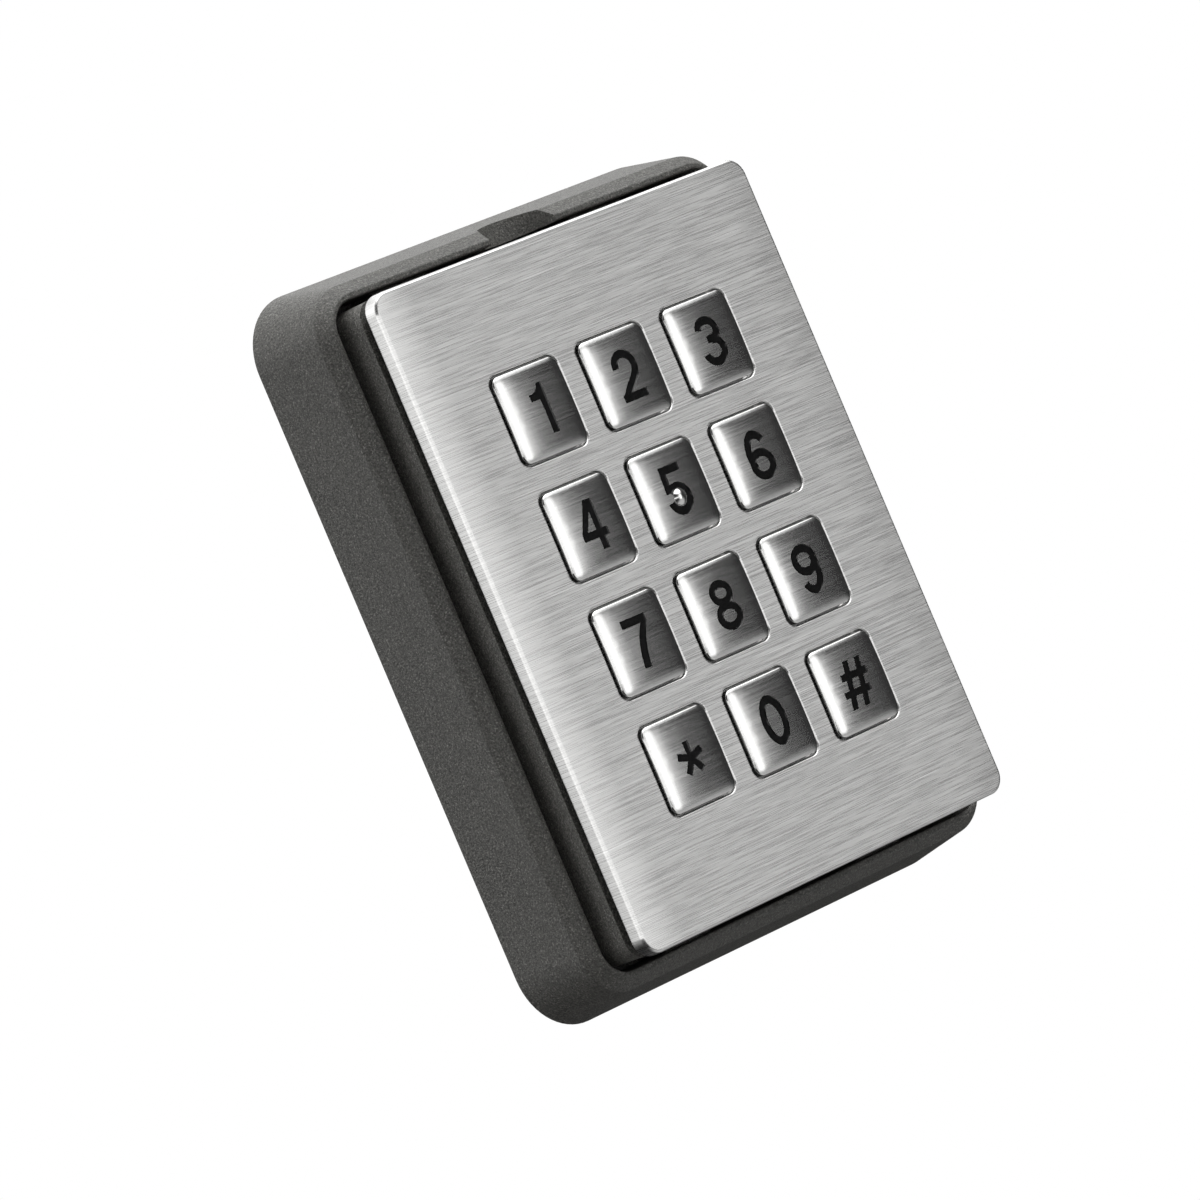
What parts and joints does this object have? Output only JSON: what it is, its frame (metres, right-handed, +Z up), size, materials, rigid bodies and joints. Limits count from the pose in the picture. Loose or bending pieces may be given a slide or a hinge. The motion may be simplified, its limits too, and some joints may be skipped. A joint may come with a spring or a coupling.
{
  "type": "keypad access reader",
  "caption": "Wall-mounted access keypad: cushion-shaped metal keys in a brushed faceplate, on a cast module that locks into a drafted housing.",
  "frame": {"origin": "centre of the housing's back face, on the wall", "axes": "+X to the right, +Z up, -Y out of the wall towards the person using it"},
  "size_m": [0.096, 0.024, 0.119],
  "materials": {
    "housing_coat": "die-cast, fine-texture powder coat, dark warm grey",
    "module_coat": "die-cast, fine-texture powder coat, dark grey",
    "brushed_plate": "stainless sheet, fine horizontal brushing",
    "key_metal": "cast stainless, satin, with a rounded cushion face",
    "legend_fill": "black enamel in the engraving",
    "screw_steel": "stainless, turned",
    "brass": "turned",
    "cover_steel": "plain sheet, lightly grained",
    "foam_rubber": "closed-cell foam",
    "black_rubber": "moulded",
    "silicone": "translucent grey silicone",
    "carbon_rubber": "carbon-loaded",
    "board_laminate": "green solder mask",
    "gold": "gold flash",
    "chip_plastic": "moulded epoxy",
    "ceramic": "ceramic chip parts",
    "terminal_plastic": "moulded",
    "clear_window": "clear plug"
  },
  "bodies": {
    "root": {"back_housing": "housing_coat", "wall_gasket": "foam_rubber", "cable_grommet": "black_rubber", "locking_screw": "screw_steel", "lock_insert": "brass", "module_body": "module_coat", "rear_cover": "cover_steel", "cover_gasket": "foam_rubber", "cover_screws": "screw_steel", "tamper_window": "clear_window", "faceplate": "brushed_plate", "front_gasket": "foam_rubber", "faceplate_studs": "screw_steel", "stud_washers": "screw_steel", "stud_nuts": "screw_steel", "keymat": "silicone", "contact_pills": "carbon_rubber", "circuit_board": "board_laminate", "contact_pads": "gold", "board_screws": "screw_steel", "microcontroller": "chip_plastic", "driver_chips": "chip_plastic", "small_parts": "ceramic", "piezo_buzzer": "chip_plastic", "tamper_sensor": "chip_plastic", "terminal_block": "terminal_plastic", "terminal_screws": "screw_steel", "service_header": "chip_plastic"},
    "key_1_body": {"key_1": "key_metal", "legend_1": "legend_fill"},
    "key_2_body": {"key_2": "key_metal", "legend_2": "legend_fill"},
    "key_3_body": {"key_3": "key_metal", "legend_3": "legend_fill"},
    "key_4_body": {"key_4": "key_metal", "legend_4": "legend_fill"},
    "key_5_body": {"key_5": "key_metal", "legend_5": "legend_fill"},
    "key_6_body": {"key_6": "key_metal", "legend_6": "legend_fill"},
    "key_7_body": {"key_7": "key_metal", "legend_7": "legend_fill"},
    "key_8_body": {"key_8": "key_metal", "legend_8": "legend_fill"},
    "key_9_body": {"key_9": "key_metal", "legend_9": "legend_fill"},
    "key_star_body": {"key_star": "key_metal", "legend_star": "legend_fill"},
    "key_0_body": {"key_0": "key_metal", "legend_0": "legend_fill"},
    "key_hash_body": {"key_hash": "key_metal", "legend_hash": "legend_fill"}
  },
  "joints": [
    {"name": "key_1_press", "type": "slide", "parent": "root", "child": "key_1_body", "axis": [0, 1, 0], "range_m": [0, 0.0012], "stiffness_N_per_m": 1000, "springref_m": -0.0008, "deforming": ["keymat"]},
    {"name": "key_2_press", "type": "slide", "parent": "root", "child": "key_2_body", "axis": [0, 1, 0], "range_m": [0, 0.0012], "stiffness_N_per_m": 1000, "springref_m": -0.0008, "deforming": ["keymat"]},
    {"name": "key_3_press", "type": "slide", "parent": "root", "child": "key_3_body", "axis": [0, 1, 0], "range_m": [0, 0.0012], "stiffness_N_per_m": 1000, "springref_m": -0.0008, "deforming": ["keymat"]},
    {"name": "key_4_press", "type": "slide", "parent": "root", "child": "key_4_body", "axis": [0, 1, 0], "range_m": [0, 0.0012], "stiffness_N_per_m": 1000, "springref_m": -0.0008, "deforming": ["keymat"]},
    {"name": "key_5_press", "type": "slide", "parent": "root", "child": "key_5_body", "axis": [0, 1, 0], "range_m": [0, 0.0012], "stiffness_N_per_m": 1000, "springref_m": -0.0008, "deforming": ["keymat"]},
    {"name": "key_6_press", "type": "slide", "parent": "root", "child": "key_6_body", "axis": [0, 1, 0], "range_m": [0, 0.0012], "stiffness_N_per_m": 1000, "springref_m": -0.0008, "deforming": ["keymat"]},
    {"name": "key_7_press", "type": "slide", "parent": "root", "child": "key_7_body", "axis": [0, 1, 0], "range_m": [0, 0.0012], "stiffness_N_per_m": 1000, "springref_m": -0.0008, "deforming": ["keymat"]},
    {"name": "key_8_press", "type": "slide", "parent": "root", "child": "key_8_body", "axis": [0, 1, 0], "range_m": [0, 0.0012], "stiffness_N_per_m": 1000, "springref_m": -0.0008, "deforming": ["keymat"]},
    {"name": "key_9_press", "type": "slide", "parent": "root", "child": "key_9_body", "axis": [0, 1, 0], "range_m": [0, 0.0012], "stiffness_N_per_m": 1000, "springref_m": -0.0008, "deforming": ["keymat"]},
    {"name": "key_star_press", "type": "slide", "parent": "root", "child": "key_star_body", "axis": [0, 1, 0], "range_m": [0, 0.0012], "stiffness_N_per_m": 1000, "springref_m": -0.0008, "deforming": ["keymat"]},
    {"name": "key_0_press", "type": "slide", "parent": "root", "child": "key_0_body", "axis": [0, 1, 0], "range_m": [0, 0.0012], "stiffness_N_per_m": 1000, "springref_m": -0.0008, "deforming": ["keymat"]},
    {"name": "key_hash_press", "type": "slide", "parent": "root", "child": "key_hash_body", "axis": [0, 1, 0], "range_m": [0, 0.0012], "stiffness_N_per_m": 1000, "springref_m": -0.0008, "deforming": ["keymat"]}
  ]
}
